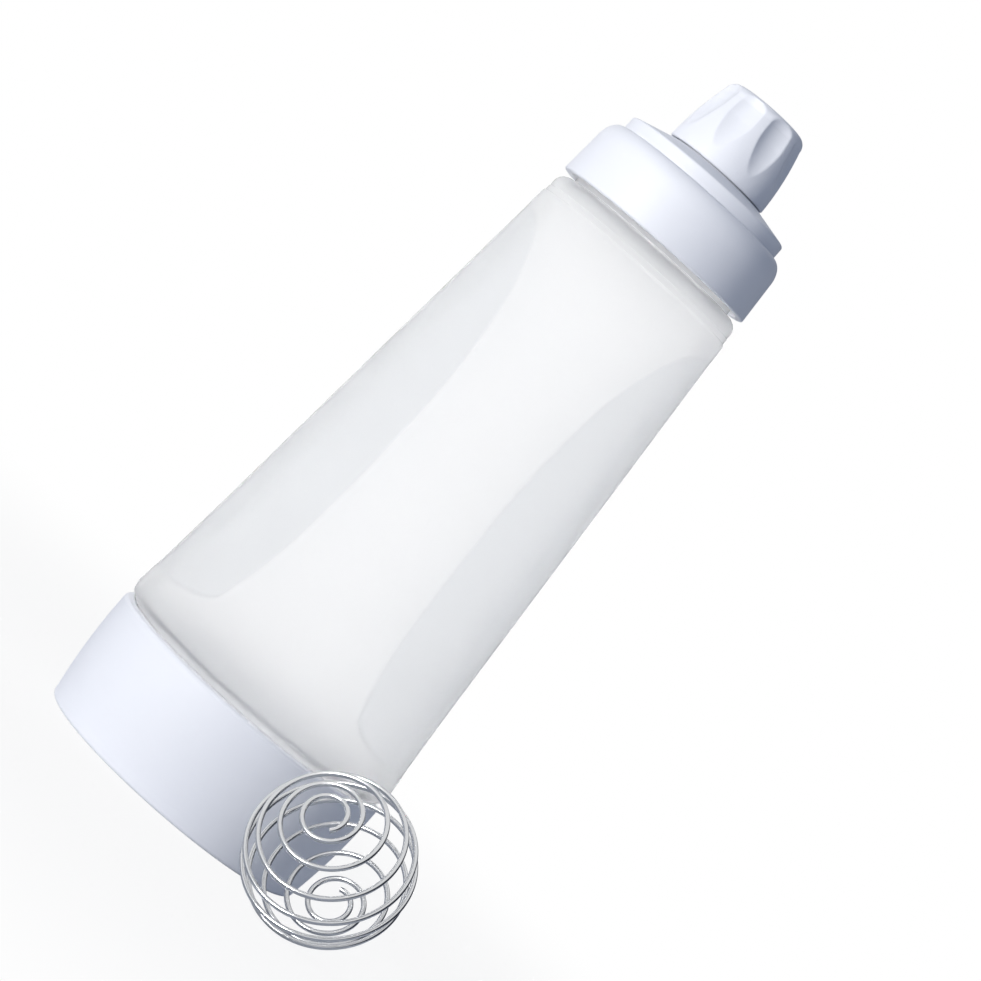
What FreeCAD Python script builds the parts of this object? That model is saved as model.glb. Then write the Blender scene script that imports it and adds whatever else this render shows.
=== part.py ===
import FreeCAD, Part
import math
import os
from FreeCAD import Vector

# Pancake batter dispenser, standing upright, in millimetres.
# Origin: centre of the foot's flat underside. +Z: up, along the bottle's axis.
# -Y: the front. A wound wire whisk ball lies loose on the same surface.

# Base cup
cup_height = 40.2
cup_radius = 53.7
cup_wall = 2.8
cup_floor = 2.6
cup_foot_draw = 3.0
cup_foot_round = 1.5
cup_rim_drop = 4.2
cup_rim_round = 1.6
cup_rim_width = 0.6
cup_ledge_width = 3.9
cup_corner_round = 3.0

# Bottle
bottle_height = 189.2
bottle_wall = 2.2
bottle_foot_inset = 0.3
bottle_foot_round = 5.0
bottle_foot_land = 2.5
collar_length = 22.5
flare_height = 36.5
flare_width = 0.5
band_radius = 37.8
band_height = 3.2
step_height = 2.0
step_width = 0.8
shoulder_round = 4.0
neck_step = 1.2
neck_height = 18.9

# Grip panels, pressed into both sides of the bottle
grip_pinch = 2.0
grip_shift = 1.85
grip_bottom = 13.5
grip_top = 9.2
grip_half_gap = 20.0
grip_edge_upper = 2.4
grip_edge_shoulder = 10.0
grip_edge_end = 20.0
grip_edge_lower = 3.0
grip_edge_corner = 8.0

# Lid
lid_gap = 1.6
lid_wall = 3.1
lid_draw = 1.0
lid_skirt_height = 14.7
lid_shoulder_width = 4.5
lid_shoulder_height = 7.3
lid_disc_inset = 0.5
lid_disc_height = 4.7
lid_disc_round = 0.8
lid_disc_crown = 1.2
lid_disc_wall = 2.2

# Spout on the lid, and its soft tip
plinth_step = 1.0
plinth_height = 3.0
spout_radius = 15.6
spout_height = 4.8
spout_wall = 2.2
nipple_wall = 1.8
nipple_height = 6.0
tip_height = 17.3
tip_base_inset = 1.85
tip_skirt = 2.75
tip_end_radius = 8.5
tip_wall = 2.0
tip_fit = 0.1

# Nozzle cap
cap_gap = 0.3
cap_skirt_wall = 1.9
cap_bulge = 0.7
cap_edge_round = 3.0
cap_top_thickness = 2.8
cap_thread_zone = 7.6
cap_upper_wall = 2.5
cap_tip_gap = 0.4
flute_count = 8
flute_first = -109.0
flute_radius = 10.4
flute_depth = 1.5
flute_bottom = 5.4
flute_deepest = 19.1

# Seals
seal_thickness = 1.5
seal_inset = 0.3
liner_thickness = 1.2
liner_inset = 0.4

# Screw threads: lead, turns of each ridge, ridge depth, widths at root and crest, height of
# the male ridge's start above its shoulder, number of ridges
ridge_sink = 0.4
thread_clearance = 0.4
flank_clearance = 0.35
cup_thread = {"lead": 10.0, "turns": 1.2, "depth": 1.8, "root": 2.6, "crest": 1.2,
              "start": 4.5, "ridges": 1}
lid_thread = {"lead": 8.0, "turns": 1.2, "depth": 1.8, "root": 2.6, "crest": 1.2,
              "start": 6.0, "ridges": 1}
cap_thread = {"lead": 6.0, "turns": 0.32, "depth": 1.4, "root": 1.4, "crest": 0.7,
              "start": 2.0, "ridges": 2}

# Wire whisk ball
ball_radius = 27.3
wire_diameter = 1.6
ball_turns = 8.27
ball_pole_angle = 16.0
ball_start_angle = 15.0
ball_tip_forward = 56.5
ball_lean = 37.3
ball_bearing = -55.56
ball_gap = 5.46
least_wire_gap = 0.4

# Heights of the joints between the pieces
z_shoulder = cup_height + bottle_foot_inset
z_collar_end = z_shoulder - collar_length
z_ledge = z_collar_end - seal_thickness
z_band_top = z_shoulder + bottle_height
z_neck = z_band_top + shoulder_round
z_mouth = z_neck + neck_height
z_lid = z_neck + lid_gap
z_lid_roof = z_mouth + seal_thickness
z_disc = z_lid + lid_skirt_height + lid_shoulder_height
z_disc_edge = z_disc + lid_disc_height
z_plinth = z_disc_edge + lid_disc_crown
z_cap = z_plinth + plinth_height - cap_gap
z_spout_top = z_plinth + plinth_height + spout_height
z_tip_end = z_spout_top + tip_height
z_cap_roof = z_tip_end + liner_thickness
z_top = z_cap_roof + cap_top_thickness

# Radii of the pairs that screw together
cup_bore = cup_radius - cup_wall
collar_radius = cup_bore - thread_clearance - cup_thread["depth"]
collar_bore = collar_radius - bottle_wall
neck_radius = band_radius - shoulder_round - neck_step
neck_bore = neck_radius - bottle_wall
lid_bore = neck_radius + lid_thread["depth"] + thread_clearance
lid_radius = lid_bore + lid_wall
disc_radius = lid_radius - lid_draw - lid_shoulder_width - lid_disc_inset
plinth_radius = spout_radius + plinth_step
tip_base_radius = spout_radius - tip_base_inset
nipple_radius = tip_base_radius - tip_skirt
cap_bore = spout_radius + cap_thread["depth"] + thread_clearance
cap_radius = cap_bore + cap_skirt_wall
z_cap_step = z_cap + cap_thread_zone
tip_draw = (tip_base_radius - tip_end_radius) / tip_height
cap_upper_bore = tip_base_radius - tip_draw * (z_cap_step - z_spout_top) + cap_tip_gap
cap_top_radius = cap_upper_bore + cap_upper_wall


def turned(start, *steps):
    """Turn a closed outline of (radius, height) points about +Z.

    A step is a point, joined by a line, or a pair of points: an arc's middle and end.
    """
    edges = []
    here = Vector(start[0], 0, start[1])
    for step in steps:
        if isinstance(step[0], tuple):
            middle = Vector(step[0][0], 0, step[0][1])
            there = Vector(step[1][0], 0, step[1][1])
            edges.append(Part.Arc(here, middle, there).toShape())
        else:
            there = Vector(step[0], 0, step[1])
            edges.append(Part.LineSegment(here, there).toShape())
        here = there
    edges.append(Part.LineSegment(here, Vector(start[0], 0, start[1])).toShape())
    face = Part.Face(Part.Wire(edges))
    return face.revolve(Vector(0, 0, 0), Vector(0, 0, 1), 360)


def round_middle(corner_radius, corner_height, width, height):
    """Middle point of a quarter round that ends level at its top."""
    reach = math.sqrt(0.5)
    return (corner_radius - width * (1 - reach), corner_height + height * reach)


def ridges_on(wall_radius, outward, thread, z_start):
    """Helical ridges on a cylinder's outside (outward 1) or inside (outward -1)."""
    rise = thread["lead"] * thread["turns"]
    foot = wall_radius - outward * ridge_sink
    crest = wall_radius + outward * thread["depth"]
    helix = Part.Wire(Part.makeHelix(thread["lead"], rise, wall_radius).Edges)
    corners = [
        Vector(foot, 0, -thread["root"] / 2),
        Vector(crest, 0, -thread["crest"] / 2),
        Vector(crest, 0, thread["crest"] / 2),
        Vector(foot, 0, thread["root"] / 2),
    ]
    profile = Part.Wire(Part.makePolygon(corners + corners[:1]).Edges)
    ridges = []
    for index in range(thread["ridges"]):
        solid = helix.makePipeShell([profile], True, True)
        solid.rotate(Vector(0, 0, 0), Vector(0, 0, 1), index * 360.0 / thread["ridges"])
        solid.translate(Vector(0, 0, z_start))
        ridges.append(solid)
    return ridges


def flank_offset(thread):
    """How far the inner ridge lies below the outer one, with its flanks just clear."""
    slope = (thread["root"] - thread["crest"]) / 2 / thread["depth"]
    return (thread["root"] + thread["crest"]) / 2 - slope * thread_clearance + flank_clearance


def make_base_cup():
    widest = cup_height - cup_rim_drop
    foot = cup_radius - cup_foot_draw
    middle_drop = cup_foot_draw * (0.5 + 0.5 * cup_foot_round / widest) ** 2
    rim_edge = cup_bore + cup_rim_width
    ledge_radius = cup_bore - cup_ledge_width
    floor_edge = ledge_radius - cup_corner_round
    shell = turned(
        (0, 0),
        (foot - cup_foot_round, 0),
        ((foot - cup_foot_round * (1 - math.sqrt(0.5)), cup_foot_round * (1 - math.sqrt(0.5))),
         (foot, cup_foot_round)),
        ((cup_radius - middle_drop, (widest + cup_foot_round) / 2), (cup_radius, widest)),
        (cup_radius, cup_height - cup_rim_round),
        (round_middle(cup_radius, cup_height - cup_rim_round, cup_radius - rim_edge, cup_rim_round),
         (rim_edge, cup_height)),
        (cup_bore, cup_height),
        (cup_bore, z_ledge),
        (ledge_radius, z_ledge),
        (ledge_radius, cup_floor + cup_corner_round),
        ((floor_edge + cup_corner_round * math.sqrt(0.5),
          cup_floor + cup_corner_round * (1 - math.sqrt(0.5))), (floor_edge, cup_floor)),
        (0, cup_floor),
    )
    z_start = z_collar_end + cup_thread["start"] - flank_offset(cup_thread)
    return shell.fuse(ridges_on(cup_bore, -1, cup_thread, z_start))


def make_base_seal():
    outer = cup_bore - seal_inset
    inner = cup_bore - cup_ledge_width
    return turned((inner, z_ledge), (outer, z_ledge), (outer, z_collar_end), (inner, z_collar_end))


def body_side(inset):
    """The bottle's side, from its foot to the soft step below the lid."""
    foot = cup_radius - bottle_foot_inset - inset
    top = band_radius + step_width - inset
    z_foot = z_shoulder + bottle_foot_round
    z_flare = z_foot + flare_height
    z_taper = z_band_top - band_height - step_height
    slope = (foot - flare_width - top) / (z_taper - z_foot)
    at_flare = top + slope * (z_taper - z_flare)
    middle = (foot + at_flare) / 2 - flare_width / 4
    return {
        "foot": (foot, z_foot),
        "middle": (middle, (z_foot + z_flare) / 2),
        "flare": (at_flare, z_flare),
        "taper": (top, z_taper),
    }


def grip_cutter(side):
    """What a grip panel takes away: its outline right through, less the slimmer core."""
    z_low = z_shoulder + grip_bottom
    z_high = z_band_top - grip_top
    height = z_high - z_low
    line = body_side(grip_pinch)
    reach = cup_radius * 1.5
    edge = [
        (grip_half_gap + grip_edge_end, z_high),
        (grip_half_gap + grip_edge_shoulder, z_high - height * 0.054),
        (grip_half_gap + grip_edge_upper, z_high - height * 0.21),
        (grip_half_gap, z_low + height * 0.55),
        (grip_half_gap + grip_edge_lower, z_low + height * 0.23),
        (grip_half_gap + grip_edge_corner, z_low + height * 0.075),
    ]
    corner = (grip_half_gap + grip_edge_corner * 1.4, z_low + height * 0.036)
    corner_end = (grip_half_gap + grip_edge_end, z_low + height * 0.012)
    flat = [Vector(side * x, -reach, z) for x, z in edge]
    curve = Part.BSplineCurve()
    curve.interpolate(flat)
    low_corner = Vector(side * corner[0], -reach, corner[1])
    low_end = Vector(side * corner_end[0], -reach, corner_end[1])
    outer_low = Vector(side * reach, -reach, z_low - height * 0.02)
    outer_high = Vector(side * reach, -reach, z_high)
    edges = [
        curve.toShape(),
        Part.Arc(flat[-1], low_corner, low_end).toShape(),
        Part.LineSegment(low_end, outer_low).toShape(),
        Part.LineSegment(outer_low, outer_high).toShape(),
        Part.LineSegment(outer_high, flat[0]).toShape(),
    ]
    block = Part.Face(Part.Wire(edges)).extrude(Vector(0, 2 * reach, 0))
    core = turned(
        (0, line["foot"][1]),
        line["foot"],
        (line["middle"], line["flare"]),
        line["taper"],
        (0, line["taper"][1]),
    )
    core.translate(Vector(side * grip_shift, 0, 0))
    return block.cut(core)


def make_bottle():
    out = body_side(0)
    inner = body_side(bottle_wall)
    foot_radius = out["foot"][0]
    land = collar_radius + bottle_foot_land
    inner_shoulder = z_band_top - bottle_wall / 2
    shell = turned(
        (collar_bore, z_collar_end),
        (collar_radius, z_collar_end),
        (collar_radius, z_shoulder),
        (land, z_shoulder),
        ((land + (foot_radius - land) * 0.78, z_shoulder + bottle_foot_round * 0.42), out["foot"]),
        (out["middle"], out["flare"]),
        out["taper"],
        (band_radius, z_band_top - band_height),
        (band_radius, z_band_top),
        (round_middle(band_radius, z_band_top, shoulder_round, shoulder_round),
         (band_radius - shoulder_round, z_neck)),
        (neck_radius, z_neck),
        (neck_radius, z_mouth),
        (neck_bore, z_mouth),
        (neck_bore, z_neck),
        (band_radius - bottle_wall, inner_shoulder - shoulder_round),
        inner["taper"],
        inner["flare"],
        (inner["middle"], inner["foot"]),
        (collar_bore, z_shoulder + bottle_wall / 2),
    )
    z_cup_ridge = z_collar_end + cup_thread["start"]
    z_lid_ridge = z_neck + lid_thread["start"]
    shell = shell.cut([grip_cutter(-1), grip_cutter(1)])
    shell = shell.fuse(ridges_on(collar_radius, 1, cup_thread, z_cup_ridge))
    return shell.fuse(ridges_on(neck_radius, 1, lid_thread, z_lid_ridge))


def make_lid():
    shoulder_foot = lid_radius - lid_draw
    z_skirt = z_lid + lid_skirt_height
    shoulder_top = disc_radius + lid_disc_inset
    roof_radius = disc_radius - lid_disc_wall
    z_disc_roof = z_disc_edge - lid_disc_wall
    spout_bore = spout_radius - spout_wall
    nipple_bore = nipple_radius - nipple_wall
    z_spout_roof = z_spout_top - spout_wall
    shell = turned(
        (lid_bore, z_lid),
        (lid_radius, z_lid),
        (shoulder_foot, z_skirt),
        (round_middle(shoulder_foot, z_skirt, shoulder_foot - shoulder_top, z_disc - z_skirt),
         (shoulder_top, z_disc)),
        (disc_radius, z_disc),
        (disc_radius, z_disc_edge - lid_disc_round),
        (round_middle(disc_radius, z_disc_edge - lid_disc_round, lid_disc_round, lid_disc_round),
         (disc_radius - lid_disc_round, z_disc_edge)),
        (plinth_radius, z_plinth),
        (plinth_radius, z_plinth + plinth_height),
        (spout_radius, z_plinth + plinth_height),
        (spout_radius, z_spout_top),
        (nipple_radius, z_spout_top),
        (nipple_radius, z_spout_top + nipple_height),
        (nipple_bore, z_spout_top + nipple_height),
        (nipple_bore, z_spout_roof),
        (spout_bore, z_spout_roof),
        (spout_bore, z_plinth - lid_disc_wall),
        (roof_radius, z_disc_roof),
        (roof_radius, z_lid_roof),
        (lid_bore, z_lid_roof),
    )
    z_lid_ridge = z_neck + lid_thread["start"] - flank_offset(lid_thread)
    z_spout_ridge = z_plinth + plinth_height + cap_thread["start"]
    shell = shell.fuse(ridges_on(lid_bore, -1, lid_thread, z_lid_ridge))
    return shell.fuse(ridges_on(spout_radius, 1, cap_thread, z_spout_ridge))


def make_lid_seal():
    outer = lid_bore - seal_inset
    return turned((neck_bore, z_mouth), (outer, z_mouth), (outer, z_lid_roof), (neck_bore, z_lid_roof))


def make_spout_tip():
    nipple_top = z_spout_top + nipple_height
    socket = nipple_radius + tip_fit
    end_bore = tip_end_radius - tip_wall
    return turned(
        (socket, z_spout_top),
        (tip_base_radius, z_spout_top),
        (tip_end_radius, z_tip_end),
        (end_bore, z_tip_end),
        (end_bore + tip_wall / 4, nipple_top + tip_wall),
        (socket, nipple_top + tip_fit),
    )


def make_nozzle_cap():
    z_edge = z_top - cap_edge_round
    middle = ((cap_radius + cap_top_radius) / 2 + cap_bulge, (z_cap + z_edge) / 2)
    edge_radius = cap_top_radius - cap_edge_round
    shell = turned(
        (0, z_cap_roof),
        (cap_upper_bore, z_cap_roof),
        (cap_upper_bore, z_cap_step + (cap_bore - cap_upper_bore)),
        (cap_bore, z_cap_step),
        (cap_bore, z_cap),
        (cap_radius, z_cap),
        (middle, (cap_top_radius, z_edge)),
        (round_middle(cap_top_radius, z_edge, cap_edge_round, cap_edge_round), (edge_radius, z_top)),
        (0, z_top),
    )
    z_point = z_cap + flute_bottom
    z_deep = z_cap + flute_deepest
    deep_radius = cap_top_radius + cap_bulge - flute_depth
    lean = (cap_radius - deep_radius) / (z_deep - z_point)
    length = 3 * (z_top - z_cap)
    for index in range(flute_count):
        angle = math.radians(flute_first + index * 360.0 / flute_count)
        outward = Vector(math.cos(angle), math.sin(angle), 0)
        along = Vector(0, 0, 1) - outward * lean
        along.normalize()
        foot = outward * (cap_radius + flute_radius * math.sqrt(1 + lean ** 2))
        foot.z = z_point
        shell = shell.cut(Part.makeCylinder(flute_radius, length, foot - along * (length / 2), along))
    z_ridge = z_plinth + plinth_height + cap_thread["start"] - flank_offset(cap_thread)
    return shell.fuse(ridges_on(cap_bore, -1, cap_thread, z_ridge))


def make_cap_seal():
    return Part.makeCylinder(cap_upper_bore - liner_inset, liner_thickness, Vector(0, 0, z_tip_end))


def ball_frame():
    """The ball's own axis and two directions square to it, tipped as it lies."""
    lean = math.radians(ball_lean)
    tip = math.radians(ball_tip_forward)
    upright = Vector(-math.sin(lean), 0, math.cos(lean))
    front = Vector(0, -1, 0)
    axis = upright * math.cos(tip) + front * math.sin(tip)
    down = front * math.cos(tip) - upright * math.sin(tip)
    return axis, down, axis.cross(down)


def wire_point(turn):
    """Point and direction of the wire's centreline after a number of turns."""
    axis, down, across = ball_frame()
    radius = ball_radius - wire_diameter / 2
    sweep = math.radians(180 - 2 * ball_pole_angle)
    polar = math.radians(ball_pole_angle) + sweep * turn / ball_turns
    angle = math.radians(ball_start_angle) + 2 * math.pi * turn
    out = down * math.cos(angle) + across * math.sin(angle)
    around = across * math.cos(angle) - down * math.sin(angle)
    place = axis * math.cos(polar) + out * math.sin(polar)
    polar_rate = sweep / ball_turns
    speed = (out * math.cos(polar) - axis * math.sin(polar)) * polar_rate
    speed += around * math.sin(polar) * 2 * math.pi
    speed.normalize()
    bearing = math.radians(ball_bearing)
    centre = Vector(math.cos(bearing), math.sin(bearing), 0) * (cup_radius + ball_gap + ball_radius)
    centre.z = ball_radius
    return centre + place * radius, speed


def biarc(start, start_way, end, end_way):
    """Two arcs that leave start and reach end in the given directions."""
    chord = end - start
    ways = start_way + end_way
    a = 2 * (1 - start_way.dot(end_way))
    b = 2 * chord.dot(ways)
    c = -chord.dot(chord)
    reach = (-b + math.sqrt(b * b - 4 * a * c)) / (2 * a)
    first = start + start_way * reach
    last = end - end_way * reach
    join = (first + last) * 0.5
    return [tangent_arc(start, start_way, join), tangent_arc(end, end_way * -1, join)[::-1]]


def tangent_arc(start, way, end):
    """Start, middle and end of the arc that leaves start along way."""
    chord = end - start
    half = chord.Length / 2
    side = chord - way * chord.dot(way)
    side.normalize()
    along = chord.dot(way) / chord.Length
    radius = half / math.sqrt(1 - along * along)
    centre = start + side * radius
    out = (start + end) * 0.5 - centre
    out.normalize()
    return (start, centre + out * radius, end)


def make_whisk_ball():
    count = math.ceil(ball_turns * 4)
    stops = [wire_point(ball_turns * index / count) for index in range(count + 1)]
    edges = []
    for (start, start_way), (end, end_way) in zip(stops, stops[1:]):
        for points in biarc(start, start_way, end, end_way):
            edges.append(Part.Arc(*points).toShape())
    route = Part.Wire(edges)
    circle = Part.Circle(stops[0][0], stops[0][1], wire_diameter / 2)
    section = Part.Wire([circle.toShape()])
    tightest = min(edge.Curve.Radius for edge in edges)
    print("whisk wire: tightest radius %.2f mm, length %.1f mm" % (tightest, route.Length))
    wire = route.makePipeShell([section], True, False)
    expected = math.pi * (wire_diameter / 2) ** 2 * route.Length
    print("whisk wire: volume %.1f mm3, section times length %.1f mm3" % (wire.Volume, expected))
    wire.translate(Vector(0, 0, -wire.optimalBoundingBox().ZMin))
    return wire


def print_wire_gap():
    """Least gap between one turn of the wire and another, measured on points."""
    per_turn = 72
    total = int(ball_turns * per_turn)
    places = [wire_point(index / per_turn)[0] for index in range(total + 1)]
    least = min(
        (first - second).Length
        for index, first in enumerate(places)
        for second in places[index + per_turn // 2:]
    )
    gap = least - wire_diameter
    print("whisk wire: least gap to itself %.2f mm, over %.1f mm wanted" % (gap, least_wire_gap))


PIECES = {
    "base_cup": make_base_cup,
    "base_seal": make_base_seal,
    "bottle": make_bottle,
    "lid": make_lid,
    "lid_seal": make_lid_seal,
    "spout_tip": make_spout_tip,
    "nozzle_cap": make_nozzle_cap,
    "cap_seal": make_cap_seal,
    "whisk_ball": make_whisk_ball,
}

os.makedirs("parts", exist_ok=True)
print_wire_gap()
for name, make in PIECES.items():
    shape = make()
    solids = shape.Solids
    shape = solids[0] if len(solids) == 1 else shape
    shape.exportStep("parts/%s.step" % name)
    box = shape.optimalBoundingBox()
    print("%-11s solids %d valid %s volume %.0f mm3, z %.1f to %.1f, radius %.1f"
          % (name, len(solids), shape.isValid(), shape.Volume, box.ZMin, box.ZMax, box.XMax))
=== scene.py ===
import math

import bmesh
import bpy
from bpy.props import FloatProperty, FloatVectorProperty, IntProperty, PointerProperty
from mathutils import Matrix, Vector


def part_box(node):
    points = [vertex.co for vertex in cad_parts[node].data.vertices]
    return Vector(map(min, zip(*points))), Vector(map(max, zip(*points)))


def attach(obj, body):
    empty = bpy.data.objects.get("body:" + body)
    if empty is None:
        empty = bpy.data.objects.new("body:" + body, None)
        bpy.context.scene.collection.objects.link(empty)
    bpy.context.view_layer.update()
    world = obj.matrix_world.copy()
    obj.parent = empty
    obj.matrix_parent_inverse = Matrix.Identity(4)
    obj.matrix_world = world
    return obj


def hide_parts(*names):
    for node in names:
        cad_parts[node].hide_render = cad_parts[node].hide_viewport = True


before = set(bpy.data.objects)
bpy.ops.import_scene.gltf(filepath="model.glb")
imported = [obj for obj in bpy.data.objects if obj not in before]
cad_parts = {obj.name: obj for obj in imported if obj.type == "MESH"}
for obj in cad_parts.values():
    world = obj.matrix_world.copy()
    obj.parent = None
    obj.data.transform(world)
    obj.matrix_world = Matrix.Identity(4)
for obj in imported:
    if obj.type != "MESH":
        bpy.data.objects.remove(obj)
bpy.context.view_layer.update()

bl_info = {
    "name": "Batter dispenser looks",
    "version": (1, 0, 0),
    "blender": (4, 5, 0),
    "location": "View3D > Sidebar > Dispenser",
    "description": "Builds the bottle, caps, wire ball and a plain studio round the packed frame",
    "category": "Object",
}

MM = 0.001

# The camera's place and the height that it aims at, in metres from the bottle's foot
CAMERA_SIDE = 12.8 * MM
CAMERA_HEIGHT = 171 * MM
CAMERA_DISTANCE = 1.118
AIM_HEIGHT = 141.5 * MM

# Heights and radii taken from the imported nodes, in millimetres


def low(node):
    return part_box(node)[0].z / MM


def high(node):
    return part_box(node)[1].z / MM


def half_width(node):
    return (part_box(node)[1].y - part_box(node)[0].y) / 2 / MM


CUP_TOP = high("base_cup")
CUP_RADIUS = half_width("base_cup")
SEAL_LOW = low("base_seal")
COLLAR_END = low("bottle")
BOTTLE_FOOT = CUP_TOP + 0.3
MOUTH = high("bottle")
NECK_FOOT = MOUTH - 18.9
BAND_TOP = NECK_FOOT - 4.0
LID_LOW = low("lid")
LID_RADIUS = half_width("lid")
LID_ROOF = high("lid_seal")
TIP_LOW = low("spout_tip")
TIP_END = high("spout_tip")
CAP_LOW = low("nozzle_cap")
CAP_TOP = high("nozzle_cap")
CAP_RADIUS = half_width("nozzle_cap")
CAP_ROOF = high("cap_seal")


def length(name, description, millimetres):
    """A setting that is a length."""
    return FloatProperty(name=name, description=description, default=millimetres * MM,
                         unit="LENGTH", precision=4)


class CupSettings(bpy.types.PropertyGroup):
    rim_round: length("Rim round", "Height of the cup's rounded rim", 1.6)
    foot_round: length("Foot round", "Radius of the edge round the foot", 1.5)
    colour: FloatVectorProperty(
        name="Plastic", description="Colour of the white moulded pieces", subtype="COLOR",
        default=(0.895, 0.905, 0.94))


class BottleSettings(bpy.types.PropertyGroup):
    wall: length("Wall", "Thickness of the bottle's wall", 2.2)
    grip_softness: length("Grip edge", "Width of the soft step round each grip panel", 1.5)
    grip_pinch: length("Grip pinch", "How much slimmer the grip's core is than the bottle", 2.0)
    colour: FloatVectorProperty(
        name="Frosted plastic", description="Colour of the translucent bottle", subtype="COLOR",
        default=(0.974, 0.976, 0.98))


class LidSettings(bpy.types.PropertyGroup):
    edge_round: length("Edge round", "Radius of the lid's small edges", 0.7)
    disc_round: length("Disc round", "Radius of the raised disc's edge", 0.9)
    tip_colour: FloatVectorProperty(
        name="Spout tip", description="Colour of the soft spout tip", subtype="COLOR",
        default=(0.62, 0.012, 0.018))


class CapSettings(bpy.types.PropertyGroup):
    flutes: IntProperty(
        name="Flutes", description="How many scoops go round the cap", default=8, min=3, max=24)
    flute_radius: length("Flute radius", "Radius of each scoop", 10.4)
    flute_depth: length("Flute depth", "Depth of each scoop near the top", 1.9)
    first_flute: FloatProperty(
        name="First flute", description="Bearing of the first scoop", default=math.radians(-109),
        unit="ROTATION")


class WireSettings(bpy.types.PropertyGroup):
    wire: length("Wire", "Diameter of the ball's wire", 1.7)
    turns: FloatProperty(
        name="Turns", description="Turns of the one wire from pole to pole", default=9.4)
    pole_angle: FloatProperty(
        name="Pole angle", description="Half angle of the small loop at each pole",
        default=math.radians(12.6), unit="ROTATION")
    start_angle: FloatProperty(
        name="Start angle", description="Where the wire starts round the upper pole",
        default=math.radians(4), unit="ROTATION")
    steel: FloatVectorProperty(
        name="Steel", description="Colour of the polished steel wire", subtype="COLOR",
        default=(0.68, 0.69, 0.705))


class StageSettings(bpy.types.PropertyGroup):
    distance: FloatProperty(
        name="Camera distance", description="From the camera to the bottle's axis",
        default=CAMERA_DISTANCE, unit="LENGTH")
    view_angle: FloatProperty(
        name="View angle", description="The camera's angle of view", default=math.radians(16.11),
        unit="ROTATION")
    roll: FloatProperty(
        name="Camera roll", description="How far the picture is turned", default=math.radians(41.3),
        unit="ROTATION")
    key_power: FloatProperty(
        name="Key light", description="Power of the light on the left, in watts", default=12.4)
    ambient: FloatVectorProperty(
        name="Light side", description="Soft light from the lit side of the studio",
        subtype="COLOR", default=(0.185, 0.22, 0.3))
    ambient_dark: FloatVectorProperty(
        name="Shaded side", description="Soft light from the shaded side of the studio",
        subtype="COLOR", default=(0.12, 0.15, 0.215))
    ambient_back: FloatVectorProperty(
        name="Back light", description="Soft light from behind and above", subtype="COLOR",
        default=(0.9, 0.91, 0.94))


SETTINGS = {
    "dispenser_cup": CupSettings,
    "dispenser_bottle": BottleSettings,
    "dispenser_lid": LidSettings,
    "dispenser_cap": CapSettings,
    "dispenser_wire": WireSettings,
    "dispenser_stage": StageSettings,
}


# Mesh making


def mix(a, b, t):
    return a + (b - a) * t


def smoothstep(low_edge, high_edge, value):
    t = min(1.0, max(0.0, (value - low_edge) / (high_edge - low_edge)))
    return t * t * (3 - 2 * t)


def soft_min(a, b, softness):
    """The smaller of two values, rounded where they are within softness of each other."""
    h = max(softness - abs(a - b), 0.0) / softness
    return min(a, b) - h * h * softness / 4


# Half of the angle at a corner, in radians, above which it needs no rounding
NEARLY_STRAIGHT = 1.56


def rounded(corners, steps=5, closed=True):
    """Outline of (radius, height) points, with each corner (r, z, fillet) rounded by its fillet."""
    points = []
    count = len(corners)
    for index, corner in enumerate(corners):
        here = Vector(corner[:2])
        fillet = corner[2] if len(corner) > 2 else 0
        inner = closed or 0 < index < count - 1
        if not fillet or not inner:
            points.append(tuple(here))
            continue
        before = Vector(corners[index - 1][:2]) - here
        after = Vector(corners[(index + 1) % count][:2]) - here
        half = before.angle(after) / 2
        if half > NEARLY_STRAIGHT:
            points.append(tuple(here))
            continue
        reach = fillet / math.tan(half)
        start = here + before.normalized() * reach
        end = here + after.normalized() * reach
        inward = (before.normalized() + after.normalized()).normalized()
        centre = here + inward * fillet / math.sin(half)
        first = start - centre
        sweep = first.angle_signed(end - centre)
        for step in range(steps + 1):
            turned = Matrix.Rotation(-sweep * step / steps, 2) @ first
            points.append(tuple(centre + turned))
    return points


def subdivided(points, longest):
    """The outline with stretches over the longest length cut into equal runs."""
    out = []
    for index, (r, z) in enumerate(points):
        r2, z2 = points[(index + 1) % len(points)]
        runs = max(1, math.ceil(math.hypot(r2 - r, z2 - z) / longest))
        out += [(mix(r, r2, k / runs), mix(z, z2, k / runs)) for k in range(runs)]
    return out


def lathe(name, outline, angles, shape=None, mark=None):
    """A solid of revolution from a closed outline in millimetres.

    shape gives each point its new radius and a share from 0 to 1, which is kept as mark."""
    mesh = bmesh.new()
    layer = mesh.verts.layers.float.new(mark) if mark else None
    rings = []
    for r, z in outline:
        if r < 1e-6:
            rings.append([mesh.verts.new((0, 0, z * MM))])
            continue
        ring = []
        for angle in angles:
            radius, share = shape(r, z, angle) if shape else (r, 0)
            place = (radius * MM * math.cos(angle), radius * MM * math.sin(angle), z * MM)
            ring.append(mesh.verts.new(place))
            if layer:
                ring[-1][layer] = share
        rings.append(ring)
    columns = len(angles)
    for below, above in zip(rings, rings[1:] + rings[:1]):
        if len(below) == 1 and len(above) == 1:
            continue
        for k in range(columns):
            n = (k + 1) % columns
            if len(below) == 1:
                mesh.faces.new((below[0], above[n], above[k]))
            elif len(above) == 1:
                mesh.faces.new((below[k], below[n], above[0]))
            else:
                mesh.faces.new((below[k], below[n], above[n], above[k]))
    bmesh.ops.recalc_face_normals(mesh, faces=mesh.faces)
    return finished_mesh(name, mesh)


SHARP_ANGLE = math.radians(38)


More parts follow.
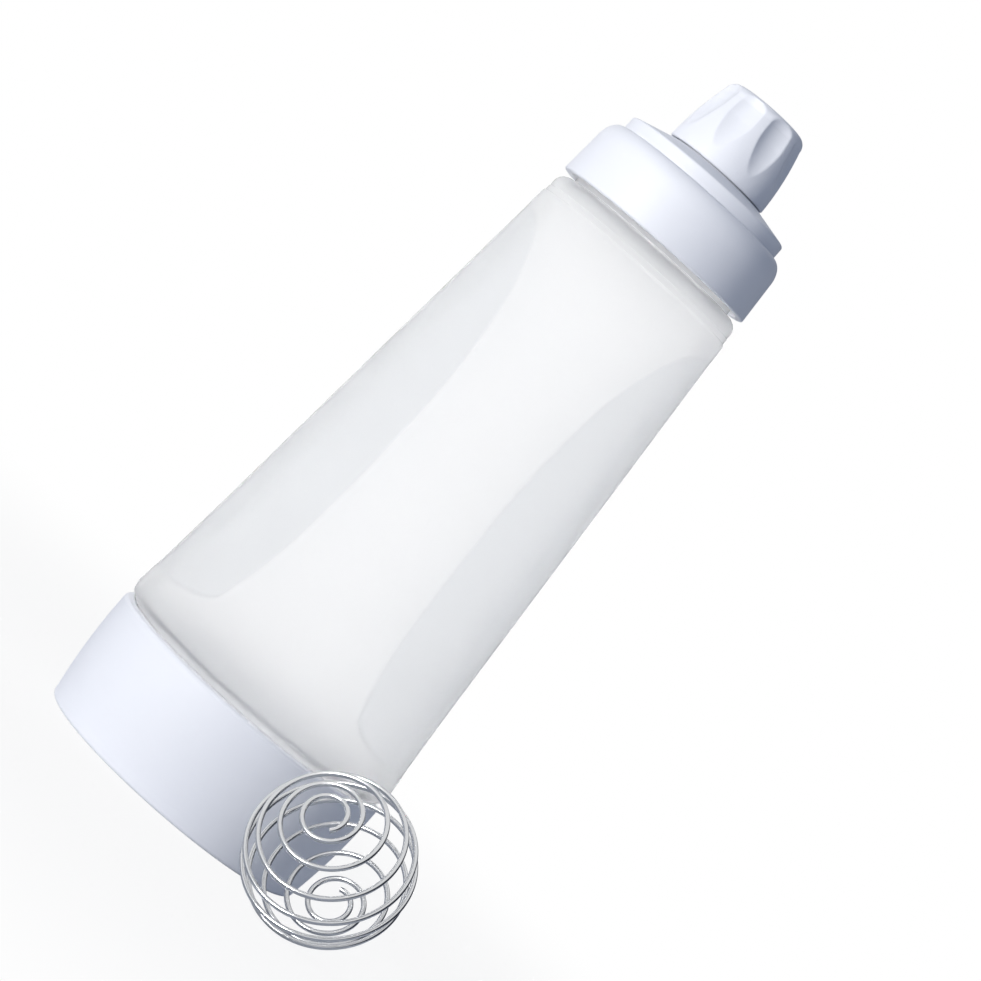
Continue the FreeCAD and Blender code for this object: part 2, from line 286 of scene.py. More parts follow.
def finished_mesh(name, mesh):
    """Object of a bmesh, smooth but for its sharp edges."""
    for face in mesh.faces:
        face.smooth = True
    data = bpy.data.meshes.new(name)
    mesh.to_mesh(data)
    mesh.free()
    data.set_sharp_from_angle(angle=SHARP_ANGLE)
    piece = bpy.data.objects.new(name, data)
    bpy.context.scene.collection.objects.link(piece)
    return piece


def even_angles(columns):
    return [2 * math.pi * k / columns for k in range(columns)]


def settle(piece, body, material=None, replaces=()):
    """Give a piece its finish and its body, and hide the node that it stands for."""
    if material:
        piece.data.materials.clear()
        piece.data.materials.append(material)
    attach(piece, body)
    if replaces:
        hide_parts(*replaces)


# Node trees


class Tree:
    """Short forms for adding nodes to a tree and joining them."""

    def __init__(self, tree):
        self.tree = tree
        self.nodes = tree.nodes
        self.links = tree.links

    def add(self, kind, inputs=None, **settings):
        node = self.nodes.new(kind)
        for key, value in settings.items():
            setattr(node, key, value)
        for key, value in (inputs or {}).items():
            self.put(node.inputs[key], value)
        return node

    def put(self, socket, value):
        if isinstance(value, bpy.types.NodeSocket):
            self.links.new(value, socket)
        elif isinstance(value, bpy.types.Node):
            self.links.new(value.outputs[0], socket)
        elif value is not None:
            socket.default_value = value

    def math(self, operation, *values):
        node = self.add("ShaderNodeMath", operation=operation)
        for index, value in enumerate(values):
            self.put(node.inputs[index], value)
        return node.outputs[0]

    def vector(self, operation, *values):
        node = self.add("ShaderNodeVectorMath", operation=operation)
        if operation == "SCALE":
            self.put(node.inputs[0], values[0])
            self.put(node.inputs["Scale"], values[1])
        else:
            for index, value in enumerate(values):
                self.put(node.inputs[index], value)
        return node.outputs[0]

    def spread(self, value, from_low, from_high, to_low, to_high, smooth=False):
        node = self.add("ShaderNodeMapRange", {"Value": value})
        node.interpolation_type = "SMOOTHSTEP" if smooth else "LINEAR"
        for key, number in zip(("From Min", "From Max", "To Min", "To Max"),
                               (from_low, from_high, to_low, to_high)):
            self.put(node.inputs[key], number)
        return node.outputs["Result"]


def new_tree(name, kind, inputs, outputs):
    """A node group with named sockets, each given as (kind of socket, default value)."""
    group = bpy.data.node_groups.new(name, kind)
    for label, (socket, default) in inputs.items():
        made = group.interface.new_socket(name=label, in_out="INPUT", socket_type=socket)
        if default is not None:
            made.default_value = default
    for label, socket in outputs.items():
        group.interface.new_socket(name=label, in_out="OUTPUT", socket_type=socket)
    tree = Tree(group)
    return tree, tree.add("NodeGroupInput"), tree.add("NodeGroupOutput")


def grown(name, tree, values):
    """Plain mesh object of what a Geometry Nodes tree makes with these input values."""
    holder = bpy.data.objects.new(name, bpy.data.meshes.new(name + "_seed"))
    bpy.context.scene.collection.objects.link(holder)
    modifier = holder.modifiers.new("Shape", "NODES")
    modifier.node_group = tree
    for item in tree.interface.items_tree:
        if item.item_type == "SOCKET" and item.in_out == "INPUT" and item.name in values:
            modifier[item.identifier] = values[item.name]
    graph = bpy.context.evaluated_depsgraph_get()
    data = bpy.data.meshes.new_from_object(holder.evaluated_get(graph), depsgraph=graph)
    holder.modifiers.remove(modifier)
    seed = holder.data
    holder.data = data
    bpy.data.meshes.remove(seed)
    data.name = name
    return holder


def wire_tree():
    """One wire wound from pole to pole of a ball, as a round tube."""
    tree, inside, out = new_tree("Wound ball wire", "GeometryNodeTree", {
        "Centre": ("NodeSocketVector", None),
        "Axis": ("NodeSocketVector", None),
        "Down": ("NodeSocketVector", None),
        "Across": ("NodeSocketVector", None),
        "Radius": ("NodeSocketFloat", 0.0265),
        "Wire radius": ("NodeSocketFloat", 0.0008),
        "Turns": ("NodeSocketFloat", 9.4),
        "Pole angle": ("NodeSocketFloat", 0.25),
        "Loop length": ("NodeSocketFloat", 1.05),
        "Crowding": ("NodeSocketFloat", 0.07),
        "Start angle": ("NodeSocketFloat", 0.26),
        "Steps": ("NodeSocketInt", 800),
        "Sides": ("NodeSocketInt", 14),
        "Material": ("NodeSocketMaterial", None),
    }, {"Mesh": "NodeSocketGeometry"})
    line = tree.add("GeometryNodeCurvePrimitiveLine")
    points = tree.add("GeometryNodeResampleCurve", {
        "Curve": line, "Count": inside.outputs["Steps"]})
    share = tree.add("GeometryNodeSplineParameter").outputs["Factor"]
    turns = inside.outputs["Turns"]
    loop = inside.outputs["Loop length"]

    def climb(turn):
        """How far along the pole-to-equator climb a turn is: slow at first, so a loop forms."""
        return tree.math("SUBTRACT", turn, tree.math("MULTIPLY", loop, tree.math(
            "TANH", tree.math("DIVIDE", turn, loop))))

    near_end = tree.math("MINIMUM", share, tree.math("SUBTRACT", 1.0, share))
    to_end = tree.math("MULTIPLY", turns, near_end)
    half_climb = climb(tree.math("MULTIPLY", turns, 0.5))
    quarter = tree.math("SUBTRACT", math.pi / 2, inside.outputs["Pole angle"])
    from_pole = tree.math("MULTIPLY_ADD", quarter, tree.math("DIVIDE", climb(to_end), half_climb),
                          inside.outputs["Pole angle"])
    side = tree.math("SIGN", tree.math("SUBTRACT", share, 0.5))
    to_equator = tree.math("SUBTRACT", math.pi / 2, from_pole)
    polar = tree.math("MULTIPLY_ADD", to_equator, side, math.pi / 2)
    wave = tree.math("SINE", tree.math("MULTIPLY", share, 2 * math.pi))
    polar = tree.math("MULTIPLY_ADD", wave, inside.outputs["Crowding"], polar)
    turned = tree.math("MULTIPLY", tree.math("MULTIPLY", turns, share), 2 * math.pi)
    angle = tree.math("ADD", turned, inside.outputs["Start angle"])
    out_way = tree.vector(
        "ADD",
        tree.vector("SCALE", inside.outputs["Down"], tree.math("COSINE", angle)),
        tree.vector("SCALE", inside.outputs["Across"], tree.math("SINE", angle)))
    place = tree.vector(
        "ADD",
        tree.vector("SCALE", inside.outputs["Axis"], tree.math("COSINE", polar)),
        tree.vector("SCALE", out_way, tree.math("SINE", polar)))
    reach = tree.vector("SCALE", place, inside.outputs["Radius"])
    place = tree.vector("ADD", reach, inside.outputs["Centre"])
    route = tree.add("GeometryNodeSetPosition", {"Geometry": points, "Position": place})
    section = tree.add("GeometryNodeCurvePrimitiveCircle", {
        "Resolution": inside.outputs["Sides"], "Radius": inside.outputs["Wire radius"]})
    tube = tree.add("GeometryNodeCurveToMesh", {
        "Curve": route, "Profile Curve": section, "Fill Caps": True})
    finish_tree(tree, inside, out, tube)
    return tree.tree


def finish_tree(tree, inside, out, geometry):
    """Shade smooth, realize, set the material and put out the mesh."""
    smooth = tree.add("GeometryNodeSetShadeSmooth", {"Geometry": geometry})
    real = tree.add("GeometryNodeRealizeInstances", {"Geometry": smooth})
    painted = tree.add("GeometryNodeSetMaterial", {
        "Geometry": real, "Material": inside.outputs["Material"]})
    tree.put(out.inputs["Mesh"], painted)


def thread_tree():
    """A screw thread's ridge, which climbs a cylinder and fades in and out at its ends."""
    tree, inside, out = new_tree("Screw ridge", "GeometryNodeTree", {
        "Wall radius": ("NodeSocketFloat", 0.03),
        "Depth": ("NodeSocketFloat", 0.0018),
        "Sink": ("NodeSocketFloat", -0.0003),
        "Root width": ("NodeSocketFloat", 0.0026),
        "Crest width": ("NodeSocketFloat", 0.0012),
        "Lead": ("NodeSocketFloat", 0.008),
        "Turns": ("NodeSocketFloat", 1.2),
        "Start height": ("NodeSocketFloat", 0.2),
        "Start angle": ("NodeSocketFloat", 0.0),
        "Runout": ("NodeSocketFloat", 0.06),
        "Steps": ("NodeSocketInt", 160),
        "Material": ("NodeSocketMaterial", None),
    }, {"Mesh": "NodeSocketGeometry"})
    line = tree.add("GeometryNodeCurvePrimitiveLine")
    points = tree.add("GeometryNodeResampleCurve", {
        "Curve": line, "Count": inside.outputs["Steps"]})
    share = tree.add("GeometryNodeSplineParameter").outputs["Factor"]
    turn = tree.math("MULTIPLY", inside.outputs["Turns"], share)
    angle = tree.math("MULTIPLY_ADD", turn, 2 * math.pi, inside.outputs["Start angle"])
    wall = inside.outputs["Wall radius"]
    height = inside.outputs["Start height"]
    place = tree.add("ShaderNodeCombineXYZ", {
        "X": tree.math("MULTIPLY", tree.math("COSINE", angle), wall),
        "Y": tree.math("MULTIPLY", tree.math("SINE", angle), wall),
        "Z": tree.math("MULTIPLY_ADD", turn, inside.outputs["Lead"], height)})
    route = tree.add("GeometryNodeSetPosition", {"Geometry": points, "Position": place})
    upright = tree.add("GeometryNodeSetCurveNormal", {"Curve": route}, mode="Z_UP")
    from_end = tree.math("MINIMUM", share, tree.math("SUBTRACT", 1.0, share))
    fade = tree.spread(from_end, 0.0, inside.outputs["Runout"], 0.15, 1.0, smooth=True)
    faded = tree.add("GeometryNodeSetCurveRadius", {"Curve": upright, "Radius": fade})
    half_root = tree.math("MULTIPLY", inside.outputs["Root width"], 0.5)
    half_crest = tree.math("MULTIPLY", inside.outputs["Crest width"], 0.5)
    section = tree.add("GeometryNodeCurvePrimitiveQuadrilateral", mode="POINTS")
    corners = (("Sink", half_root, -1), ("Depth", half_crest, -1), ("Depth", half_crest, 1),
               ("Sink", half_root, 1))
    for index, (reach, half, side) in enumerate(corners):
        corner = tree.add("ShaderNodeCombineXYZ", {
            "X": inside.outputs[reach], "Y": tree.math("MULTIPLY", half, float(side))})
        tree.put(section.inputs["Point %d" % (index + 1)], corner)
    tube = tree.add("GeometryNodeCurveToMesh", {
        "Curve": faded, "Profile Curve": section, "Fill Caps": True})
    finish_tree(tree, inside, out, tube)
    return tree.tree


# Surface effects and materials


def moulded_group():
    """The faint unevenness of a moulded surface: tone, roughness and relief."""
    tree, inside, out = new_tree("Moulded surface", "ShaderNodeTree", {
        "Colour": ("NodeSocketColor", (0.8, 0.8, 0.8, 1)),
        "Tone": ("NodeSocketFloat", 0.03),
        "Roughness low": ("NodeSocketFloat", 0.25),
        "Roughness high": ("NodeSocketFloat", 0.4),
        "Grain size": ("NodeSocketFloat", 0.0009),
        "Relief": ("NodeSocketFloat", 0.1),
    }, {"Colour": "NodeSocketColor", "Roughness": "NodeSocketFloat", "Normal": "NodeSocketVector"})
    place = tree.add("ShaderNodeTexCoord").outputs["Object"]
    broad = tree.add("ShaderNodeTexNoise", {"Vector": place, "Scale": 18.0, "Detail": 3.0})
    frequency = tree.math("DIVIDE", 1.0, inside.outputs["Grain size"])
    grain = tree.add("ShaderNodeTexNoise", {"Vector": place, "Scale": frequency, "Detail": 2.0})
    darker = tree.math("SUBTRACT", 1.0, inside.outputs["Tone"])
    tone = tree.spread(broad.outputs["Fac"], 0.3, 0.7, darker, 1.0)
    colour = tree.vector("SCALE", inside.outputs["Colour"], tone)
    tree.put(out.inputs["Colour"], colour)
    mostly_broad = tree.math("MULTIPLY", broad.outputs["Fac"], 0.6)
    uneven = tree.math("MULTIPLY_ADD", grain.outputs["Fac"], 0.4, mostly_broad)
    tree.put(out.inputs["Roughness"], tree.spread(
        uneven, 0.35, 0.65, inside.outputs["Roughness low"], inside.outputs["Roughness high"]))
    bump = tree.add("ShaderNodeBump", {
        "Strength": inside.outputs["Relief"], "Distance": 0.0002, "Height": grain.outputs["Fac"]})
    tree.put(out.inputs["Normal"], bump)
    return tree.tree


def new_material(name):
    """An empty material with an output, and its Principled shader."""
    material = bpy.data.materials.new(name)
    material.use_nodes = True
    material.node_tree.nodes.clear()
    tree = Tree(material.node_tree)
    shader = tree.add("ShaderNodeBsdfPrincipled")
    out = tree.add("ShaderNodeOutputMaterial")
    tree.put(out.inputs["Surface"], shader)
    return material, tree, shader


def moulded_material(name, colour, tone, rough, grain, relief, plain):
    """A moulded surface's material. plain holds the sockets that are the same all over."""
    material, tree, shader = new_material(name)
    group = tree.add("ShaderNodeGroup", node_tree=bpy.data.node_groups["Moulded surface"])
    values = {"Colour": (*colour, 1), "Tone": tone, "Roughness low": rough[0],
              "Roughness high": rough[1], "Grain size": grain, "Relief": relief}
    for key, value in values.items():
        group.inputs[key].default_value = value
    tree.put(shader.inputs["Base Color"], group.outputs["Colour"])
    tree.put(shader.inputs["Roughness"], group.outputs["Roughness"])
    tree.put(shader.inputs["Normal"], group.outputs["Normal"])
    for key, value in plain.items():
        shader.inputs[key].default_value = value
    return material


def white_plastic(colour):
    return moulded_material("white plastic", colour, 0.02, (0.44, 0.54), 0.0008, 0.12, {
        "IOR": 1.42})


def frosted_plastic(colour):
    """Milky translucent plastic, with painted shade darkening the grip panels, and a little
    glossier there.
    """
    material = moulded_material("frosted plastic", colour, 0.01, (0.6, 0.7), 0.0006, 0.1, {
        "IOR": 1.18, "Transmission Weight": 0.9})
    tree = Tree(material.node_tree)
    shader = next(node for node in tree.nodes if node.type == "BSDF_PRINCIPLED")
    group = next(node for node in tree.nodes if node.type == "GROUP")
    grip = tree.add("ShaderNodeAttribute", attribute_name="grip").outputs["Fac"]
    # The "grip" share multiplies the colour darker: painted shade in the grip panels.
    painted_panel_shade = tree.add("ShaderNodeMix", {"Factor": grip}, data_type="RGBA", blend_type="MULTIPLY")
    tree.put(painted_panel_shade.inputs[6], group.outputs["Colour"])
    painted_panel_shade.inputs[7].default_value = (0.86, 0.875, 0.89, 1)
    tree.put(shader.inputs["Base Color"], painted_panel_shade.outputs[2])
    glossier = tree.math("MULTIPLY_ADD", grip, -0.08, group.outputs["Roughness"])
    tree.put(shader.inputs["Roughness"], glossier)
    return material


def soft_red(colour):
    return moulded_material("red silicone", colour, 0.05, (0.45, 0.6), 0.0007, 0.16, {
        "IOR": 1.42, "Sheen Weight": 0.12, "Sheen Roughness": 0.4})


def seal_silicone():
    return moulded_material("seal silicone", (0.88, 0.90, 0.93), 0.03, (0.4, 0.5), 0.0007, 0.1, {
        "IOR": 1.42})


def polished_steel(colour):
    """Drawn wire: bright, with faint draw marks and a few duller spots."""
    return moulded_material("polished steel", colour, 0.12, (0.08, 0.18), 0.0012, 0.06, {
        "Metallic": 1.0})


# Pieces


class DISPENSER_OT_materials(bpy.types.Operator):
    """Make the shared surface effect and the materials"""
    bl_idname = "dispenser.materials"
    bl_label = "Materials"

    def execute(self, context):
        scene = context.scene
        moulded_group()
        white_plastic(scene.dispenser_cup.colour)
        frosted_plastic(scene.dispenser_bottle.colour)
        soft_red(scene.dispenser_lid.tip_colour)
        seal_silicone()
        polished_steel(scene.dispenser_wire.steel)
        thread_tree()
        return {"FINISHED"}


def add_thread(name, body, material, wall, outward, thread, start):
    """The ridges of one screw thread, as one piece on a body."""
    steps = max(24, int(thread["turns"] * 150))
    pieces = []
    for index in range(thread["ridges"]):
        pieces.append(grown(name, bpy.data.node_groups["Screw ridge"], {
            "Wall radius": wall * MM,
            "Depth": outward * thread["depth"] * MM,
            "Sink": -outward * 0.3 * MM,
            "Root width": thread["root"] * MM,
            "Crest width": thread["crest"] * MM,
            "Lead": thread["lead"] * MM,
            "Turns": thread["turns"],
            "Start height": start * MM,
            "Start angle": 2 * math.pi * index / thread["ridges"],
            "Runout": 0.05,
            "Steps": steps,
            "Material": bpy.data.materials[material],
        }))
    mesh = bmesh.new()
    for piece in pieces:
        mesh.from_mesh(piece.data)
        bpy.data.objects.remove(piece)
    bmesh.ops.recalc_face_normals(mesh, faces=mesh.faces)
    settle(finished_mesh(name, mesh), body, bpy.data.materials[material])


CUP_THREAD = {"lead": 10.0, "turns": 1.2, "depth": 1.8, "root": 2.6, "crest": 1.2, "ridges": 1}
LID_THREAD = {"lead": 8.0, "turns": 1.2, "depth": 1.8, "root": 2.6, "crest": 1.2, "ridges": 1}
CAP_THREAD = {"lead": 6.0, "turns": 0.32, "depth": 1.4, "root": 1.4, "crest": 0.7, "ridges": 2}
THREAD_CLEARANCE = 0.4
CUP_RIDGE = COLLAR_END + 4.5
LID_RIDGE = NECK_FOOT + 6.0
CAP_RIDGE = TIP_LOW - 4.8 + 2.0
CUP_BORE = CUP_RADIUS - 2.8
CUP_LEDGE = CUP_BORE - 3.9
COLLAR_RADIUS = CUP_BORE - THREAD_CLEARANCE - CUP_THREAD["depth"]
NECK_RADIUS = 32.6
LID_BORE = NECK_RADIUS + THREAD_CLEARANCE + LID_THREAD["depth"]
SPOUT_RADIUS = 15.6
CAP_BORE = SPOUT_RADIUS + THREAD_CLEARANCE + CAP_THREAD["depth"]


def below_mate(thread):
    """How far an inner ridge lies below the outer ridge that it screws on."""
    slope = (thread["root"] - thread["crest"]) / 2 / thread["depth"]
    return (thread["root"] + thread["crest"]) / 2 - slope * THREAD_CLEARANCE + 0.35


class DISPENSER_OT_base_cup(bpy.types.Operator):
    """Turn the base cup, with its barrel curve, rounded rim and inner thread"""
    bl_idname = "dispenser.base_cup"
    bl_label = "Base cup"

    def execute(self, context):
        settings = context.scene.dispenser_cup
        foot_round = settings.foot_round / MM
        rim_round = settings.rim_round / MM
        widest = CUP_TOP - 4.2
        draw = 3.0
        floor = 2.6
        foot = CUP_RADIUS - draw
        corners = [(0, 0), (foot - 9.0, 0, 0.4), (foot, 0, foot_round)]
        rise = widest - foot_round
        for k in range(1, 24):
            z = foot_round + rise * k / 24
            corners.append((CUP_RADIUS - draw * ((widest - z) / rise) ** 2, z))
        corners += [
            (CUP_RADIUS, widest),
            (CUP_RADIUS, CUP_TOP - rim_round, 0.6),
            (CUP_RADIUS - 0.5, CUP_TOP - 0.55, 0.8),
            (CUP_BORE + 0.6, CUP_TOP, 0.5),
            (CUP_BORE, CUP_TOP, 0.25),
            (CUP_BORE, SEAL_LOW, 0.3),
            (CUP_LEDGE, SEAL_LOW, 0.4),
            (CUP_LEDGE, floor, 3.0),
            (0, floor),
        ]
        cup = lathe("base_cup_shell", rounded(corners), even_angles(224))
        settle(cup, "base", bpy.data.materials["white plastic"], ["base_cup"])
        add_thread("base_cup_thread", "base", "white plastic", CUP_BORE, -1,
                   CUP_THREAD, CUP_RIDGE - below_mate(CUP_THREAD))
        return {"FINISHED"}


# Ends of the bottle's tapered side, and its radius at the upper one
SIDE_LOW = BOTTLE_FOOT + 5.0
SIDE_HIGH = BAND_TOP - 5.2
SIDE_TOP = 38.6
FLARE = 0.5
FLARE_HEIGHT = 36.5


def side_radius(z, inset=0.0):
    """Radius of the bottle's side at a height: a straight taper that flares at the foot."""
    slope = (CUP_RADIUS - 0.3 - FLARE - SIDE_TOP) / (SIDE_HIGH - SIDE_LOW)
    flare = FLARE * max(0.0, 1 - (z - SIDE_LOW) / FLARE_HEIGHT) ** 2
    return SIDE_TOP + slope * (SIDE_HIGH - z) + flare - inset


# Heights of the grip panel's ends, and its edge as (distance from the middle, share of height)
GRIP_LOW = BOTTLE_FOOT + 13.5
GRIP_HIGH = BAND_TOP - 9.2
GRIP_EDGE = ((40.0, 1.0), (30.0, 0.946), (22.4, 0.79), (20.0, 0.55), (23.0, 0.23), (28.0, 0.075),
             (31.2, 0.036), (40.0, 0.012), (56.0, -0.012))


def grip_outline():
    """The grip panel's edge as closely spaced (distance from the middle, height) points."""
    height = GRIP_HIGH - GRIP_LOW
    knots = [Vector((x, GRIP_LOW + share * height)) for x, share in GRIP_EDGE]
    knots = [knots[0] * 2 - knots[1]] + knots + [knots[-1] * 2 - knots[-2]]
    points = []
    for a, b, c, d in zip(knots, knots[1:], knots[2:], knots[3:]):
        for step in range(24):
            t = step / 24
            points.append(0.5 * ((2 * b) + (c - a) * t + (2 * a - 5 * b + 4 * c - d) * t ** 2
                                 + (3 * b - a - 3 * c + d) * t ** 3))
    return points


def panel_depth_test(outline):
    """Function that gives how far a point (distance, height) is inside the panel's edge."""
    def inside_by(x, z):
        best = 1e9
        side = 1.0
        for a, b in zip(outline, outline[1:]):
            run = b - a
            offset = Vector((x, z)) - a
            t = max(0.0, min(1.0, offset.dot(run) / run.length_squared))
            gap = offset - run * t
            if gap.length < best:
                best = gap.length
                side = run.x * offset.y - run.y * offset.x
        return best if side > 0 else -best
    return inside_by


def bottle_angles():
    """Bearings of the bottle's columns, closest together where the grip panels end."""
    quarter = [math.radians(a) for a in range(0, 30, 3)]
    quarter += [math.radians(30 + 0.75 * k) for k in range(54)]
    quarter += [math.radians(70.5 + 2.8 * k) for k in range(7)]
    angles = set()
    for a in quarter:
        for angle in (a, math.pi - a, math.pi + a, -a):
            angles.add(round(angle % (2 * math.pi), 6))
    angles.add(round(math.pi / 2, 6))
    angles.add(round(math.pi * 1.5, 6))
    return sorted(angles)


class DISPENSER_OT_bottle(bpy.types.Operator):
    """Turn the translucent bottle, press in its grip panels and add its two threads"""
    bl_idname = "dispenser.bottle"
    bl_label = "Bottle"

    def execute(self, context):
        settings = context.scene.dispenser_bottle
        wall = settings.wall / MM
        softness = settings.grip_softness / MM
        pinch = settings.grip_pinch / MM
        shift = pinch - 0.15
        inside_by = panel_depth_test(grip_outline())
        plain_middle = 16

        def pressed(r, z, angle):
            if not GRIP_LOW - 8 < z < GRIP_HIGH + 2 or r < side_radius(z) - 0.2:
                return r, 0
            x = abs(r * math.cos(angle))
            if x < plain_middle:
                return r, 0
            depth = smoothstep(-softness / 2, softness / 2, inside_by(x, z))
            core = r - pinch
            along = shift * abs(math.cos(angle))
            grip = along + math.sqrt(core ** 2 - (shift * math.sin(angle)) ** 2)
            # The share kept as "grip" is painted shade: darker inside the panel's edge, most where
            # the panel turns to the front and back.
            tone = depth * (0.25 + 0.75 * math.sin(angle) ** 2)
            return mix(r, grip, depth), tone

        fine_row, coarse_row = 0.8, 2.4
        heights = []
        z = SIDE_LOW
        while z < SIDE_HIGH:
            heights.append(z)
            near_low = abs(z - (GRIP_LOW + 3)) < 10
            near_high = abs(z - (GRIP_HIGH - 8)) < 13
            z += fine_row if near_low or near_high else coarse_row
        foot = side_radius(SIDE_LOW)
        collar_bore = COLLAR_RADIUS - wall
        band = 37.8
        outside = [
            (collar_bore, COLLAR_END, 0.5),
            (COLLAR_RADIUS, COLLAR_END, 0.6),
            (COLLAR_RADIUS, BOTTLE_FOOT, 0.5),
            (COLLAR_RADIUS + 2.2, BOTTLE_FOOT, 0.5),
            (foot - 0.45, BOTTLE_FOOT + 1.9, 2.2),
        ]
        outside += [(side_radius(z), z) for z in heights]
        outside += [
            (SIDE_TOP, BAND_TOP - 4.6, 0.35),
            (SIDE_TOP - 0.3, BAND_TOP - 3.8, 0.2),
            (band + 0.2, BAND_TOP - 3.6, 0.2),
            (band + 0.15, BAND_TOP - 1.7, 0.1),
            (band - 0.08, BAND_TOP - 1.5, 0.1),
            (band, BAND_TOP - 0.5),
            (band, BAND_TOP + 4.0, 3.9),
            (NECK_RADIUS, NECK_FOOT, 0.4),
            (NECK_RADIUS, MOUTH, 0.7),
            (NECK_RADIUS - wall, MOUTH, 0.7),
            (NECK_RADIUS - wall, NECK_FOOT - 1.2, 1.0),
            (band - wall, BAND_TOP + 2.2, 3.0),
            (band - wall, BAND_TOP - 5.0),
        ]
        inner = [(side_radius(z, wall), z) for z in heights[::6][::-1] if z < BAND_TOP - 10]
        tail = [(foot - wall, BOTTLE_FOOT + 3.0, 1.2), (collar_bore, BOTTLE_FOOT + 2.2, 1.5)]
        outline = rounded(outside + inner[:-1] + tail)
        # The bottle keeps the painted panel shade as its "grip" attribute.
        bottle = lathe("bottle_shell", outline, bottle_angles(), pressed, "grip")
        frosted = bpy.data.materials["frosted plastic"]
        settle(bottle, "bottle", frosted, ["bottle"])
        add_thread("bottle_collar_thread", "bottle", "frosted plastic",
                   COLLAR_RADIUS, 1, CUP_THREAD, CUP_RIDGE)
        add_thread("bottle_neck_thread", "bottle", "frosted plastic",
                   NECK_RADIUS, 1, LID_THREAD, LID_RIDGE)
        return {"FINISHED"}


class DISPENSER_OT_lid(bpy.types.Operator):
    """Turn the lid with its raised disc, plinth and spout, and add its two threads"""
    bl_idname = "dispenser.lid"
    bl_label = "Lid"

    def execute(self, context):
        settings = context.scene.dispenser_lid
        edge = settings.edge_round / MM
        skirt_top = LID_LOW + 14.7
        shoulder = LID_RADIUS - 1.0
        shoulder_height = 7.3
        disc_z = skirt_top + shoulder_height
        disc_edge = disc_z + 4.7
        disc = LID_RADIUS - 6.0
        plinth_z = disc_edge + 1.2
        spout_foot = plinth_z + 3.0
        ledge_z = CAP_LOW - 0.45
        wall = 2.2
        nipple, nipple_bore, nipple_top = 11.0, 9.2, TIP_LOW + 6.0
        corners = [(LID_BORE, LID_LOW, 0.4), (LID_RADIUS, LID_LOW, edge), (shoulder, skirt_top)]
        reach = shoulder - disc - 0.5
        for k in range(1, 12):
            bearing = math.pi / 2 * k / 12
            corners.append((shoulder - reach * (1 - math.cos(bearing)),
                            skirt_top + shoulder_height * math.sin(bearing)))
        corners += [
            (disc + 0.5, disc_z, 0.15),
            (disc, disc_z, 0.25),
            (disc, disc_edge, settings.disc_round / MM),
            (CAP_RADIUS + 1.0, CAP_LOW - 0.9, 0.8),
            (CAP_RADIUS - 0.4, ledge_z, 0.3),
            (SPOUT_RADIUS + 1.0, ledge_z, 0.2),
            (SPOUT_RADIUS + 1.0, spout_foot, 0.2),
            (SPOUT_RADIUS, spout_foot, 0.2),
            (SPOUT_RADIUS, TIP_LOW, 0.4),
            (nipple, TIP_LOW, 0.2),
            (nipple, nipple_top, 0.6),
            (nipple_bore, nipple_top, 0.6),
            (nipple_bore, TIP_LOW - wall, 0.5),
            (SPOUT_RADIUS - wall, TIP_LOW - wall, 0.8),
            (SPOUT_RADIUS - wall, plinth_z - wall, 0.8),
            (disc - wall, disc_edge - wall, 0.8),
            (disc - wall, LID_ROOF, 0.4),
            (LID_BORE, LID_ROOF, 0.4),
        ]
        lid = lathe("lid_shell", rounded(corners), even_angles(200))
        white = bpy.data.materials["white plastic"]
        settle(lid, "lid", white, ["lid"])
        add_thread("lid_thread", "lid", "white plastic", LID_BORE, -1, LID_THREAD,
                   LID_RIDGE - below_mate(LID_THREAD))
        add_thread("spout_thread", "lid", "white plastic", SPOUT_RADIUS, 1,
                   CAP_THREAD, CAP_RIDGE)
        tip_foot, tip_top, tip_mouth, tip_bore = 13.75, 8.5, 6.5, 7.0
        tip = [
            (nipple + 0.1, TIP_LOW, 0.3), (tip_foot, TIP_LOW, 0.5), (tip_top, TIP_END, 0.7),
            (tip_mouth, TIP_END, 0.6), (tip_bore, TIP_LOW + 8.0, 0.5),
            (nipple + 0.1, nipple_top + 0.1, 0.3),
        ]
        soft_tip = lathe("spout_tip_cone", subdivided(rounded(tip), 2.5), even_angles(112))
        settle(soft_tip, "lid", bpy.data.materials["red silicone"], ["spout_tip"])
        return {"FINISHED"}


